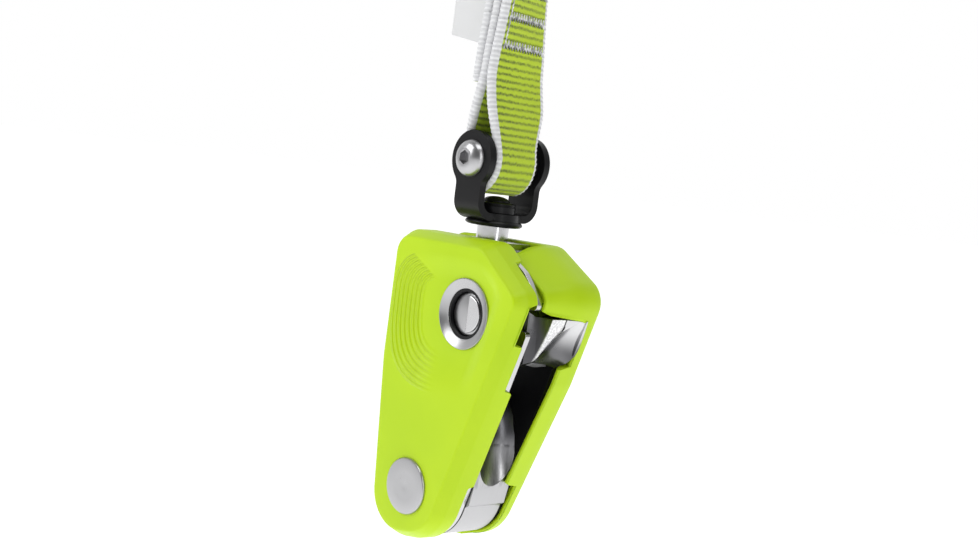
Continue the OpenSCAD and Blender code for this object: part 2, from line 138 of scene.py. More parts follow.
# %% Shader expressions
class Wire:
    def __init__(self, finish, socket):
        self.finish = finish
        self.socket = socket

    def math(self, operation, *others):
        return self.finish.node("ShaderNodeMath", {"operation": operation},
                                dict(enumerate((self,) + others)))

    def __add__(self, other):
        return self.math("ADD", other)

    def __sub__(self, other):
        return self.math("SUBTRACT", other)

    def __rsub__(self, other):
        return self.finish.wire(other).math("SUBTRACT", self)

    def __mul__(self, other):
        return self.math("MULTIPLY", other)

    def __truediv__(self, other):
        return self.math("DIVIDE", other)

    def __neg__(self):
        return self.math("MULTIPLY", -1.0)

    def __pow__(self, other):
        return self.math("POWER", other)

    __radd__ = __add__
    __rmul__ = __mul__

    def absolute(self):
        return self.math("ABSOLUTE")

    def fraction(self):
        return self.math("FRACT")

    def most(self, other):
        return self.math("MAXIMUM", other)

    def ramp(self, low, high, to_low=0.0, to_high=1.0):
        return self.finish.node("ShaderNodeMapRange", {"interpolation_type": "SMOOTHSTEP"},
                                {0: self, 1: low, 2: high, 3: to_low, 4: to_high})


class Nodes:
    def __init__(self, tree):
        self.tree = tree

    def feed(self, socket, value):
        if isinstance(value, Wire):
            self.tree.links.new(value.socket, socket)
        elif isinstance(value, (tuple, list)) and socket.type == "RGBA":
            socket.default_value = tuple(value) + (1.0,) * (4 - len(value))
        else:
            socket.default_value = value

    def node(self, kind, settings=None, sockets=None, out=0):
        made = self.tree.nodes.new(kind)
        for key, value in (settings or {}).items():
            setattr(made, key, value)
        for key, value in (sockets or {}).items():
            self.feed(made.inputs[key], value)
        return Wire(self, made.outputs[out])

    def wire(self, value):
        return self.node("ShaderNodeMath", {"operation": "ADD"}, {0: value, 1: 0.0})

    def mix(self, factor, first, second):
        return self.node("ShaderNodeMix", {"data_type": "RGBA"},
                         {0: factor, 6: first, 7: second}, out=2)


class Finish(Nodes):
    def __init__(self, name, **sockets):
        self.material = bpy.data.materials.new(name)
        self.material.use_nodes = True
        super().__init__(self.material.node_tree)
        self.shader = self.tree.nodes["Principled BSDF"]
        self.set(**sockets)

    def set(self, **sockets):
        for key, value in sockets.items():
            self.feed(self.shader.inputs[key.replace("_", " ")], value)

    def place(self):
        return self.node("ShaderNodeTexCoord", out="Object")

    def uv(self):
        return self.node("ShaderNodeTexCoord", out="UV")

    def axes(self, vector):
        made = self.tree.nodes.new("ShaderNodeSeparateXYZ")
        self.feed(made.inputs[0], vector)
        return [Wire(self, made.outputs[i]) for i in range(3)]

    def noise(self, scale, detail=2.0, roughness=0.5, stretch=(1, 1, 1), vector=None):
        mapped = self.node("ShaderNodeMapping", None,
                           {"Vector": vector or self.place(), "Scale": stretch})
        return self.node("ShaderNodeTexNoise", None,
                         {"Vector": mapped, "Scale": scale, "Detail": detail,
                          "Roughness": roughness})

    def bump(self, height, strength, distance, under=None):
        sockets = {"Height": height, "Strength": strength, "Distance": distance}
        if under is not None:
            sockets["Normal"] = under
        return self.node("ShaderNodeBump", None, sockets)

# %% [markdown]
# Polished steel only looks like steel if there is something to reflect: bright panels with dark
# gaps between them. The world is white behind the object, so the piece stands on a clean page, and
# greyer on the viewer's side, where three soft area lamps are the bright panels.

# %% Light, world and floor
def lamp(name, direction, distance, size, power):
    light = bpy.data.lights.new(name, "AREA")
    light.shape = "RECTANGLE"
    light.size, light.size_y = size
    light.energy = power
    holder = bpy.data.objects.new(name, light)
    bpy.context.scene.collection.objects.link(holder)
    aim = at(10, 18, 60)
    holder.location = aim + Vector(direction).normalized() * distance
    holder.rotation_euler = (aim - holder.location).to_track_quat("-Z", "Y").to_euler()


lamp("key_softbox", (-0.55, -1.0, 0.75), 0.9, (0.5, 0.6), 3.7)
lamp("side_softbox", (1.0, -0.15, 0.35), 0.9, (0.12, 0.7), 1.2)
lamp("top_softbox", (0.3, -0.1, 1.0), 0.9, (0.6, 0.4), 2.2)

world = bpy.data.worlds.new("studio")
bpy.context.scene.world = world
world.use_nodes = True
sky = Nodes(world.node_tree)
seen_from = sky.node("ShaderNodeVectorMath", {"operation": "DOT_PRODUCT"},
                     {0: sky.node("ShaderNodeTexCoord", out="Generated"), 1: tuple(back)},
                     out="Value")
sky.feed(world.node_tree.nodes["Background"].inputs["Color"],
         sky.mix(seen_from.ramp(-0.9, 0.4), (1.0, 1.0, 1.0), (0.17, 0.17, 0.17)))
world.node_tree.nodes["Background"].inputs["Strength"].default_value = 1.0

paper = Finish("pale_paper", Base_Color=(0.9, 0.9, 0.9), Roughness=0.9)
paper.set(Emission_Color=(1, 1, 1), Emission_Strength=0.75)
floor_bm = bmesh.new()
bmesh.ops.create_grid(floor_bm, x_segments=1, y_segments=1, size=30)
bmesh.ops.translate(floor_bm, verts=floor_bm.verts, vec=(0, 0, CAD_BOX[0][2] - 0.25))
floor_mesh = bpy.data.meshes.new("floor")
floor_bm.to_mesh(floor_mesh)
floor = bpy.data.objects.new("floor", floor_mesh)
floor_mesh.materials.append(paper.material)
bpy.context.scene.collection.objects.link(floor)
bpy.context.scene.view_settings.view_transform = "Standard"
print("three lamps, one floor")

# %% [markdown]
# The covers are a bright lime plastic, moulded with a very fine spark-eroded grain: almost matt, a
# little soft in its highlights. Contour lines run like height lines on a map round the dished
# face. They are so shallow that a bump draws them.

# %% Lime plastic
LIME = (0.485, 0.70, 0.008)
LIME_DEEP = (0.44, 0.655, 0.006)


def lime_plastic(name):
    finish = Finish(name, IOR=1.46, Specular_IOR_Level=0.3)
    tone = finish.noise(28, 3).ramp(0.3, 0.7)
    finish.set(Base_Color=finish.mix(tone, LIME_DEEP, LIME))
    grain = finish.noise(2600, 2, 0.6)
    finish.set(Roughness=0.36 + 0.1 * finish.noise(900, 3))
    return finish, finish.bump(grain, 0.12, 0.00004)


rear_plastic, rear_grain = lime_plastic("lime_plastic")
rear_plastic.set(Normal=rear_grain)

# %% [markdown]
# The dish round the latch has one rule for its shape and for its contour lines: `reach` is 1 at
# the dish's rim and falls to 0 at its centre. Unlike a true distance, it is a rounded square, so
# its lines run straight down the left side and curve round the corners.

# %% The dish's rule
DISH_X, DISH_Z = 12.0, 60.0
DISH_LEFT, DISH_UP, DISH_DOWN = 29.5, 16.5, 28.0
SQUARENESS = 3.2
CONTOUR = 0.0625

face_plastic, face_grain = lime_plastic("lime_plastic_with_contours")
face_x, face_y, face_z = face_plastic.axes(face_plastic.place())
from_x = (face_x - at(DISH_X, 0, 0).x) / MM / DISH_LEFT
from_z = (face_z - at(0, 0, DISH_Z).z) / MM
from_z = (from_z / DISH_UP).most(-from_z / DISH_DOWN)
reach = (from_x.absolute() ** SQUARENESS + from_z ** SQUARENESS) ** (1 / SQUARENESS)
lines = ((reach / CONTOUR).fraction() - 0.5).absolute().ramp(0.05, 0.45)
left_flank = (-from_x - from_z * 0.85).ramp(-0.04, 0.06)
lower_flank = (face_z - at(0, 0, 52).z).ramp(-0.002, 0.002, 1, 0) * from_x.ramp(-0.55, -0.15, 1, 0)
band = reach.ramp(0.52, 0.62) * reach.ramp(0.985, 1.05, 1, 0)
on_face = (face_y - ORIGIN.y).ramp(0.002, 0.0035, 1, 0)
contours = lines * left_flank.most(lower_flank) * band * on_face
face_plastic.set(Normal=face_plastic.bump(contours, 0.8, 0.0006, face_grain))
print("plastic finishes made")

# %% [markdown]
# Metals here differ mostly in how rough they are. `steel` mixes two noises: a cloudy one for
# handling marks, and a fine grain, which is stretched along one axis on a turned part.

# %% Metal finishes
GRAIN_DEPTH = 0.00002
DARKER = 0.82


def steel(name, colour, roughness, spread, stretch=(1, 1, 1), grain=900):
    finish = Finish(name, Metallic=1.0)
    clouds = finish.noise(60, 4)
    lines = finish.noise(grain, 3, 0.6, stretch)
    dark = tuple(channel * DARKER for channel in colour)
    finish.set(Base_Color=finish.mix(clouds, dark, colour),
               Roughness=roughness + spread * (clouds - 0.5) + 0.5 * spread * (lines - 0.5))
    finish.set(Normal=finish.bump(lines, 0.25, GRAIN_DEPTH))
    return finish.material


polished = steel("polished_steel", (0.62, 0.62, 0.63), 0.18, 0.12)
turned = steel("turned_steel", (0.47, 0.47, 0.48), 0.3, 0.14, (1, 0.04, 1), 1500)
satin = steel("satin_steel", (0.58, 0.58, 0.59), 0.33, 0.16)
dark_zinc = steel("dark_zinc", (0.26, 0.26, 0.27), 0.35, 0.15)
bronze = steel("bush_bronze", (0.45, 0.33, 0.17), 0.35, 0.15)


# Heights in mm over which the block's painted reflection darkens the steel.
PAINTED_REFLECTION_FROM, PAINTED_REFLECTION_TO = 6, 21
WORN_FROM, WORN_TO = 2.6, 4.4


def block_finish():
    """Rope-polished steel: dark high in the groove as a painted reflection, brighter and streaky
    below, plain at the heel.
    """
    finish = Finish("block_steel", Metallic=1.0)
    _, _, height = finish.axes(finish.place())
    streaks = finish.noise(900, 4, 0.65, (1, 1, 0.05))
    clouds = finish.noise(120, 3)
    low = height + 0.006 * (clouds - 0.5)
    # Painted reflection: the colour darkens with height, standing in for the dark surroundings that
    # the upper groove reflects.
    tone = low.ramp(at(0, 0, PAINTED_REFLECTION_FROM).z, at(0, 0, PAINTED_REFLECTION_TO).z)
    colour = finish.mix(tone, (0.48, 0.48, 0.49), (0.13, 0.13, 0.14))
    worn = low.ramp(at(0, 0, WORN_FROM).z, at(0, 0, WORN_TO).z)
    colour = finish.mix(streaks.ramp(0.42, 0.62) * worn * 0.45, colour, (0.16, 0.16, 0.17))
    finish.set(Base_Color=colour, Roughness=0.3 + 0.16 * (streaks - 0.5) + 0.1 * (1 - worn))
    finish.set(Normal=finish.bump(streaks, 0.3 * worn, 0.00004))
    return finish.material


FACE_TILT = math.radians(18.6)
FACE_X, FACE_Z = 39.8, 0.060
# The colour of the painted shade in the guide's hollow and below its scoop's top band.
SHADE = (0.07, 0.07, 0.075)


def guide_finish():
    """Forged guide: a grainy end face, a polished scoop, and painted shade in the upright hollow and
    below the scoop's top band.
    """
    finish = Finish("guide_alloy", Metallic=1.0)
    east, depth, height = finish.axes(finish.place())
    across = depth - at(0, 0, 0).y
    rise = height - at(0, 0, 0).z
    off_face = ((east - at(FACE_X, 0, 0).x) * math.cos(FACE_TILT)
                - (rise - FACE_Z) * math.sin(FACE_TILT)).absolute()
    parting = (across - 0.022).most((across - 0.022) * 0.74 - (rise - 0.0572) * 0.55)
    end_face = off_face.ramp(0.00015, 0.0006, 1, 0) * parting.ramp(-0.0003, -0.0001, 1, 0)
    seam = parting.absolute().ramp(0.00012, 0.0003, 1, 0) * off_face.ramp(0.0006, 0.0012, 1, 0)
    # Painted shade: the upright hollow at the front of the guide is darkened.
    hollow = (across - 0.016).ramp(-0.0006, 0.0004, 1, 0)
    clouds = finish.noise(240, 4)
    grain = finish.noise(1500, 3, 0.7)
    # Painted shade: the colour darkens below about 56 mm height, in the trough under the scoop's top
    # band.
    under = (rise - 0.056 + 0.2 * (across - 0.025)).ramp(-0.006, 0.0025, 1, 0)
    colour = finish.mix(clouds, (0.5, 0.5, 0.51), (0.62, 0.62, 0.63))
    colour = finish.mix(under * 0.85, colour, SHADE)
    colour = finish.mix(hollow * 0.85, colour, SHADE)
    bright = finish.mix(grain.ramp(0.35, 0.65), (0.6, 0.6, 0.61), (0.9, 0.9, 0.91))
    colour = finish.mix(end_face, colour, bright)
    finish.set(Base_Color=finish.mix(seam * 0.95, colour, (0.01, 0.01, 0.01)),
               Roughness=0.24 + 0.1 * clouds + 0.26 * end_face)
    finish.set(Normal=finish.bump(grain, 0.15 + 0.5 * end_face, 0.00009))
    return finish.material


block_steel = block_finish()
guide_alloy = guide_finish()


def black_coat(name, roughness):
    finish = Finish(name, Base_Color=(0.006, 0.006, 0.007), IOR=1.45, Specular_IOR_Level=0.25)
    clouds = finish.noise(80, 4)
    finish.set(Roughness=roughness + 0.16 * (clouds - 0.5))
    finish.set(Normal=finish.bump(finish.noise(1400, 2), 0.12, 0.00003))
    return finish.material


black_steel = black_coat("black_steel", 0.36)
black_plastic = black_coat("black_plastic", 0.45)
print("metal finishes made")

# %% [markdown]
# Every piece is drawn in millimetres from the pivot rivet. `finish_piece` scales it into the
# frame, smooths it, gives it its finish and ties it to the body that carries it.

# %% Making a finished piece
BEVEL_FROM = math.radians(32)


def finish_piece(name, bm, material, body, stands_for=(), smooth=35.0, bevel=None,
                 closed=True):
    if closed:
        bmesh.ops.recalc_face_normals(bm, faces=bm.faces)
    bmesh.ops.scale(bm, verts=bm.verts, vec=(MM, MM, MM))
    bmesh.ops.translate(bm, verts=bm.verts, vec=ORIGIN)
    mesh = bpy.data.meshes.new(name)
    bm.to_mesh(mesh)
    bm.free()
    for polygon in mesh.polygons:
        polygon.use_smooth = True
    mesh.set_sharp_from_angle(angle=math.radians(smooth))
    piece = bpy.data.objects.new(name, mesh)
    bpy.context.scene.collection.objects.link(piece)
    mesh.materials.append(material)
    if bevel:
        rounded = piece.modifiers.new("rounded_edges", "BEVEL")
        rounded.width = bevel * MM
        rounded.segments = 3
        rounded.limit_method = "ANGLE"
        rounded.angle_limit = BEVEL_FROM
    if stands_for:
        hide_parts(*stands_for)
    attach(piece, body)
    print(name, len(mesh.polygons), "faces")
    return piece

# %% [markdown]
# Many small parts already have the right shape in the frame, only with knife-sharp edges, and a
# real part never has those: light catches a tiny round on every edge. A copy of the solid is
# merged, its flat triangles are joined into whole faces, and a Bevel modifier rounds the rest.

# %% Rounded copies of plain machine parts
BODY_OF = {node: body for body, nodes in frame["record"]["behaviour"]["bodies"].items()
           for node in nodes}


def rounded_copy(node, material, radius):
    bm = bmesh.new()
    bm.from_mesh(frame["nodes"][node].data)
    bmesh.ops.remove_doubles(bm, verts=bm.verts, dist=0.000002)
    bmesh.ops.dissolve_limit(bm, angle_limit=math.radians(1.0), verts=bm.verts, edges=bm.edges)
    bmesh.ops.translate(bm, verts=bm.verts, vec=-ORIGIN)
    bmesh.ops.scale(bm, verts=bm.verts, vec=(1 / MM, 1 / MM, 1 / MM))
    finish_piece(node + "_rounded", bm, material, BODY_OF[node], (node,), bevel=radius,
                 closed=False)


rounded_copy("front_side_plate", polished, 0.35)
# The rear plate takes the black coat as a painted reflection: its steel face shows black from the
# dark surroundings it reflects.
rounded_copy("rear_side_plate", black_steel, 0.3)
rounded_copy("top_yoke", polished, 0.6)
rounded_copy("brake_block", block_steel, 0.4)
rounded_copy("rope_guide", guide_alloy, 0.35)
rounded_copy("fork", black_steel, 0.45)
rounded_copy("pin_nut", polished, 0.3)
rounded_copy("shaft_nut", satin, 0.3)
for small in ("rear_screw_top", "rear_screw_mid", "rear_screw_low", "button_clip"):
    rounded_copy(small, dark_zinc, 0.15)

# %% [markdown]
# The other machine parts keep their solids and only take a finish.

# %% Finishes for the plain solids
KEPT = {"pin_sleeve": black_plastic, "pivot_washer": satin, "guide_pin_upper": satin,
        "guide_pin_lower": satin, "yoke_pin": satin, "latch_stud": polished,
        "latch_housing": black_steel, "pivot_bush": bronze, "front_screw_left": dark_zinc,
        "front_screw_low": dark_zinc, "button_spring": satin}

for node, material in KEPT.items():
    for slot in frame["nodes"][node].material_slots:
        slot.material = material

# %% [markdown]
# Both covers are shells with a belt-like outline: straight runs between round corners. The outline
# is a list of circles, and a belt pulled tight round them touches each at the angle that `facing`
# works out. Every point keeps the direction that it faces, so a larger or smaller belt is each
# point moved along its own direction, and all the rings of a cover match point for point.

# %% Belt outlines
PLATE_TOP = mm_box("front_side_plate")[1].z
FRONT_CIRCLES = [(0, 0, 17.2), (34.5, 65, 6.3), (19, PLATE_TOP - 7, 8.8),
                 (-13.2, PLATE_TOP - 6.6, 8.4), (-8.3, 40, 13.8), (-4, -3, 14.9)]
REAR_CIRCLES = [(0, 0, 17.6), (18.5, 46, 18.4), (35.8, 66.4, 8.2), (22, PLATE_TOP - 6.2, 8.3),
                (-13.2, PLATE_TOP - 6.6, 8.4), (-8.3, 40, 13.8), (-4, -3, 14.9)]


def facing(a, b):
    dx, dz = b[0] - a[0], b[1] - a[1]
    return math.atan2(dz, dx) - math.acos((a[2] - b[2]) / math.hypot(dx, dz))


def belt(circles, spacing):
    points = []
    for i, circle in enumerate(circles):
        start = facing(circles[i - 1], circle)
        following = circles[(i + 1) % len(circles)]
        leave = facing(circle, following)
        turn = (leave - start) % math.tau
        steps = max(6, math.ceil(turn * circle[2] / spacing))
        for k in range(steps):
            angle = start + turn * k / steps
            face = Vector((math.cos(angle), 0, math.sin(angle)))
            points.append((Vector((circle[0], 0, circle[1])) + face * circle[2], face))
        face = Vector((math.cos(leave), 0, math.sin(leave)))
        run_from = Vector((circle[0], 0, circle[1])) + face * circle[2]
        run_to = Vector((following[0], 0, following[1])) + face * following[2]
        steps = max(1, math.ceil((run_to - run_from).length / spacing))
        for k in range(steps):
            points.append((run_from.lerp(run_to, k / steps), face))
    return points


def smoothstep(low, high, value):
    t = min(1.0, max(0.0, (value - low) / (high - low)))
    return t * t * (3 - 2 * t)


def hermite(p0, m0, p1, m1, t):
    """A curve from p0 to p1 that leaves along m0 and arrives along m1."""
    square, cube = t ** 2, t ** 3
    return (p0 * (2 * cube - 3 * square + 1) + m0 * (cube - 2 * square + t)
            + p1 * (3 * square - 2 * cube) + m1 * (cube - square))


print("front outline has", len(belt(FRONT_CIRCLES, 0.6)), "points")

# %% [markdown]
# A cover is grown ring by ring, like a pot on a wheel. The first ring is a circle round the latch
# hole. `grow` extrudes the open edge and puts each new corner where its ring wants it, so the whole
# shell is one skin from the hole, over the face, the frame and the wall, round the rim and inside.

# %% Growing rings
def first_ring(bm, points):
    corners = [bm.verts.new(point) for point in points]
    return [bm.edges.new((corners[i - 1], corners[i])) for i in range(len(corners))], corners


def grow(bm, edges, corners, points):
    made = bmesh.ops.extrude_edge_only(bm, edges=edges)["geom"]
    new_edges = [g for g in made if isinstance(g, bmesh.types.BMEdge)]
    partner = {}
    new_corners = set(g for g in made if isinstance(g, bmesh.types.BMVert))
    for corner in corners:
        for edge in corner.link_edges:
            other = edge.other_vert(corner)
            if other in new_corners:
                partner[corner] = other
    following = [partner[corner] for corner in corners]
    for corner, point in zip(following, points):
        corner.co = point
    ring = set(following)
    return [e for e in new_edges if e.verts[0] in ring and e.verts[1] in ring], following


def shell(bm, rings):
    edges, corners = first_ring(bm, rings[0])
    for points in rings[1:]:
        edges, corners = grow(bm, edges, corners, points)
    return edges, corners


# %% [markdown]
# The guide's scoop is lined with a polished steel shoe, which shows as a smooth hollow beside the
# grainy end face. Rings of points run along it: each goes from the end face's edge, down through
# the hollow, to the thin lip at the rear, and back inside the guide.

# %% The guide's polished shoe
SHOE_FRONT = [(33.4, 12.4, 46.9), (36.4, 15.9, 49.4), (38.2, 18.9, 54.2), (39.6, 22.1, 58.2),
              (39.9, 22.3, 60.9)]
SHOE_REAR = [(33.0, 26.6, 44.8), (37.2, 27.3, 47.0), (39.9, 28.5, 50.4), (41.6, 28.65, 55.0),
             (43.1, 28.65, 60.9)]
SHOE_HOLLOW = [0.8, 2.6, 3.2, 2.2, 0.3]
SHOE_ACROSS = 12
SHOE_ALONG = 8


def shoe_ring(front, rear, hollow):
    inwards = Vector((-0.75, 0.35, 0.56))
    ring = []
    for k in range(SHOE_ACROSS + 1):
        share = k / SHOE_ACROSS
        sink = hollow * math.sin(math.pi * k / SHOE_ACROSS) ** 0.8
        ring.append(front.lerp(rear, share) + inwards * sink)
    ring.append(Vector((min(rear.x - 3, 36.5), min(rear.y, 27.3), rear.z + 0.4)))
    ring.append(Vector((front.x - 5, front.y + 3.5, front.z + 0.4)))
    return ring


def catmull(values, t):
    """A smooth value at t along a short list of values."""
    i = min(int(t), len(values) - 2)
    before, after = values[max(i - 1, 0)], values[min(i + 2, len(values) - 1)]
    slope_in, slope_out = (values[i + 1] - before) * 0.5, (after - values[i]) * 0.5
    return hermite(values[i], slope_in, values[i + 1], slope_out, t - i)


def guide_shoe():
    fronts = [Vector(p) for p in SHOE_FRONT]
    rears = [Vector(p) for p in SHOE_REAR]
    rings = []
    for k in range(SHOE_ALONG * (len(SHOE_FRONT) - 1) + 1):
        t = k / SHOE_ALONG
        rings.append(shoe_ring(catmull(fronts, t), catmull(rears, t), catmull(SHOE_HOLLOW, t)))
    bm = bmesh.new()
    shell(bm, rings)
    bmesh.ops.holes_fill(bm, edges=[e for e in bm.edges if e.is_boundary], sides=0)
    return bm


finish_piece("guide_shoe", guide_shoe(), guide_alloy, "housing", ("rope_guide",), smooth=40)

# %% [markdown]
# The front cover is a wide frame with soft edges, and inside it the dish, deepest round the latch.
# The rim is cut back where the steel plate's edge shows: a list of stretches gives the height that
# the rim keeps. Each stretch has short slopes at its ends, as a moulded notch does.

# %% Front cover
DISH_DEPTH = 1.45
FRAME_X, FRAME_LEAN = 29.5, 0.33
FRAME_CORNER = 101.0
FACE_STEPS = 42
LATCH_POINT = Vector((LATCH.x, 0, LATCH.z))
SINK_RADIUS = (mm_box("latch_ring")[1].x - mm_box("latch_ring")[0].x) / 2
FRONT_NOTCHES = [(-40, 3.5, 3, 9.3), (36.6, 51.8, 20, 8.2), (51.8, 65.3, 20, 4.7),
                 (65.3, 77.4, 26, 8.1)]


def notched(spot, notches, rim):
    for low, high, beyond, kept in notches:
        if spot.x > beyond:
            inside = (smoothstep(low - 0.35, low + 0.35, spot.z)
                      * (1 - smoothstep(high - 0.35, high + 0.35, spot.z)))
            rim += (kept - rim) * inside
    return rim


def dish(point):
    """How far the face lies below the frame at a point of the face."""
    across = abs(point.x - DISH_X) / DISH_LEFT
    rise = point.z - DISH_Z
    along = rise / DISH_UP if rise > 0 else -rise / DISH_DOWN
    reach = (across ** SQUARENESS + along ** SQUARENESS) ** (1 / SQUARENESS)
    to_frame = FRAME_X + FRAME_LEAN * (min(point.z, 66) - 58) - point.x
    corner = FRAME_CORNER - point.x - point.z
    return (DISH_DEPTH * (1 - smoothstep(0.52, 1.0, reach)) * smoothstep(-1.5, 5, to_frame)
            * smoothstep(-1.5, 6, corner))


def sleeve(outline, grow_by, y):
    return [point + face * grow_by + Vector((0, y, 0)) for point, face in outline]


def hole(outline, radius, y):
    return [LATCH_POINT + (point - LATCH_POINT).normalized() * radius + Vector((0, y, 0))
            for point, _ in outline]


def face_station(outline, share):
    ring = []
    for point, face in outline:
        edge = point - face * 3.2
        inner = LATCH_POINT + (edge - LATCH_POINT).normalized() * SINK_RADIUS
        spot = inner.lerp(edge, share)
        spot.y = dish(spot)
        ring.append(spot)
    return ring


def front_rim(outline, grow_by, back_by):
    ring = []
    for point, face in outline:
        y = notched(point, FRONT_NOTCHES, PLATE_BACK) - back_by
        ring.append(point + face * grow_by + Vector((0, y, 0)))
    return ring


def close_loop(bm, corners, count):
    """Joins the last ring to the first."""
    bm.verts.ensure_lookup_table()
    for i in range(count):
        bm.faces.new((corners[i - 1], corners[i], bm.verts[i], bm.verts[(i - 1) % count]))


def front_cover():
    outline = belt(FRONT_CIRCLES, 0.6)
    rings = [hole(outline, SINK_RADIUS - 1.2, 3.6), hole(outline, SINK_RADIUS - 0.05, 3.6)]
    rings += [face_station(outline, (k / FACE_STEPS) ** 0.9) for k in range(FACE_STEPS + 1)]
    rings += [sleeve(outline, grow_by, y) for grow_by, y in
              ((-2.9, 0.04), (-2.6, 0.2), (-2.3, 0.52), (-1.3, 2.25), (-0.45, 3.75), (-0.2, 4.4))]
    rings += [front_rim(outline, grow_by, back_by) for grow_by, back_by in
              ((-0.02, 0.75), (0, 0.45), (-0.12, 0.14), (-0.4, 0.0), (-1.2, 0.0), (-1.5, 0.2),
               (-1.6, 0.6))]
    rings.append([Vector((point.x, min(PLATE_FRONT, ring.y + 0.3), point.z)) - face * 1.8
                  for (point, face), ring in zip(outline, rings[-1])])
    rings += [sleeve(outline, -5.4, min(PLATE_FRONT, 4.2)), sleeve(outline, -5.8, 3.6)]
    rings.append(hole(outline, SINK_RADIUS + 1.5, 3.6))
    bm = bmesh.new()
    edges, corners = shell(bm, rings)
    close_loop(bm, corners, len(outline))
    finish_piece("front_cover_shell", bm, face_plastic.material, "front_half", ("front_cover",),
                 smooth=50)


front_cover()

# %% [markdown]
# The rear cover is the same idea turned round. Its wall reaches forwards over the rope guide to
# make the body's shoulder, and draws in towards the front plate's outline on the way. The rim is
# notched for the guide's end and along the heel.

# %% Rear cover
RIM_Y = REAR_PLATE_FRONT - 3
SHOULDER_Y = PLATE_BACK + 0.45
SHOULDER_LOW = 61.5
DRAW_IN = 3.9
REAR_NOTCHES = [(-40, 3.5, 3, 29.2), (45.4, 61.0, 30, 28.8)]


def shoulder(point):
    """1 along the stretch of wall that reaches forwards, 0 elsewhere."""
    return (smoothstep(23.3, 23.9, point.x)
            * smoothstep(SHOULDER_LOW - 0.3, SHOULDER_LOW + 0.3, point.z))


def rear_wall(outline, share, grow_by=0.0, back_by=0.0):
    """A station of the wall, from the cover (share 0) to its front rim (share 1)."""
    ring = []
    for point, face in outline:
        rim = notched(point, REAR_NOTCHES, RIM_Y)
        rim += (SHOULDER_Y - rim) * shoulder(point)
        y = BACK - 5.2 + (rim - BACK + 5.2) * share + back_by
        draw = DRAW_IN * smoothstep(RIM_Y + 1.5, SHOULDER_Y - 2, y) * shoulder(point)
        ring.append(point + face * (grow_by - draw) + Vector((0, y, 0)))
    return ring


def rim_inside(point, face, spot):
    """The rim's inner edge: the shoulder is thick on top, over the guide."""
    return spot - face * 5 * shoulder(point) * smoothstep(65, 69, point.z)


def ring_inside(point, face, spot):
    """Where the wall's inner side turns back, towards the rear plate."""
    turn = max(spot.y, min(spot.y + 6, REAR_PLATE_FRONT))
    return Vector((spot.x, turn, spot.z)) - face * 0.2


def back_station(outline, share):
    centre = Vector((8, 0, 40))
    ring = []
    for point, face in outline:
        spot = centre.lerp(point - face * 3.4, share)
        spot.y = BACK - 1.1 * (1 - smoothstep(0.72, 0.98, share))
        ring.append(spot)
    return ring


def rear_cover():
    outline = belt(REAR_CIRCLES, 0.6)
    rings = [back_station(outline, 0.04 + 0.96 * k / 14) for k in range(15)]
    rings += [sleeve(outline, grow_by, BACK - y) for grow_by, y in
              ((-2.6, 0.0), (-2.35, 0.06), (-2.1, 0.22), (-1.2, 1.15), (-0.5, 1.95), (-0.2, 2.5),
               (-0.05, 3.1))]
    rings += [rear_wall(outline, share) for share in (0, 0.15, 0.3, 0.45, 0.6, 0.75, 0.88, 0.95)]
    rings += [rear_wall(outline, 1, grow_by, back_by) for grow_by, back_by in
              ((0, 0.45), (-0.12, 0.14), (-0.4, 0), (-1.1, 0), (-1.4, 0.2), (-1.55, 0.6))]
    for step in (rim_inside, ring_inside):
        rings.append([step(point, face, spot) for (point, face), spot in zip(outline, rings[-1])])
    rings.append(sleeve(outline, -5.5, REAR_PLATE_BACK + 0.1))
    bm = bmesh.new()
    shell(bm, rings)
    bmesh.ops.holes_fill(bm, edges=[e for e in bm.edges if e.is_boundary], sides=0)
    finish_piece("rear_cover_shell", bm, rear_plastic.material, "housing", ("rear_cover",),
                 smooth=50)


rear_cover()

# %% [markdown]
# Turned parts are a profile spun round an axis: the latch ring with its countersunk face, the push
# button, the rivet's head, the collar, the flange, the domed head and the pin screw's button head.

# %% Spun parts
def spun(profile, axis="Y", steps=96):
    """Profile points are (radius, along); along runs up the axis."""
    bm = bmesh.new()
    turn = Vector((0, 1, 0) if axis == "Y" else (0, 0, 1))
    corners = [bm.verts.new(Vector((radius, 0, 0)) + turn * along) for radius, along in profile]
    edges = [bm.edges.new(pair) for pair in zip(corners, corners[1:])]
    bmesh.ops.spin(bm, geom=corners + edges, cent=(0, 0, 0), axis=turn, dvec=(0, 0, 0),
                   angle=math.tau, steps=steps, use_merge=True, use_duplicate=False)
    bmesh.ops.remove_doubles(bm, verts=bm.verts, dist=0.0005)
    return bm


def moved(bm, x, y, z):
    bmesh.ops.translate(bm, verts=bm.verts, vec=(x, y, z))
    return bm


# %% Latch ring
BORE = 7.9
ring = spun([(BORE, 3.9), (BORE, 2.1), (BORE + 0.15, 1.85), (SINK_RADIUS - 0.5, 1.0),
             (SINK_RADIUS - 0.3, 0.85), (SINK_RADIUS - 0.1, 0.87), (SINK_RADIUS - 0.02, 1.05),
             (SINK_RADIUS - 0.02, 3.9), (BORE, 3.9)])
finish_piece("latch_ring_turned", moved(ring, LATCH.x, 0, LATCH.z), turned, "front_half",
             ("latch_ring",))

# %% Rivet head
head = spun([(0, -0.82), (1.2, -0.86), (2.2, -0.95), (3.4, -0.9), (4.6, -0.98), (8.4, -1.0),
             (8.9, -0.9), (9.15, -0.6), (9.2, -0.2), (9.2, 0.3), (5.0, 0.35),
             (5.0, REAR_PLATE_BACK + 1.9), (4.4, REAR_PLATE_BACK + 2.3), (0, REAR_PLATE_BACK + 2.4)])
finish_piece("pivot_rivet_turned", head, turned, "housing", ("pivot_rivet",))

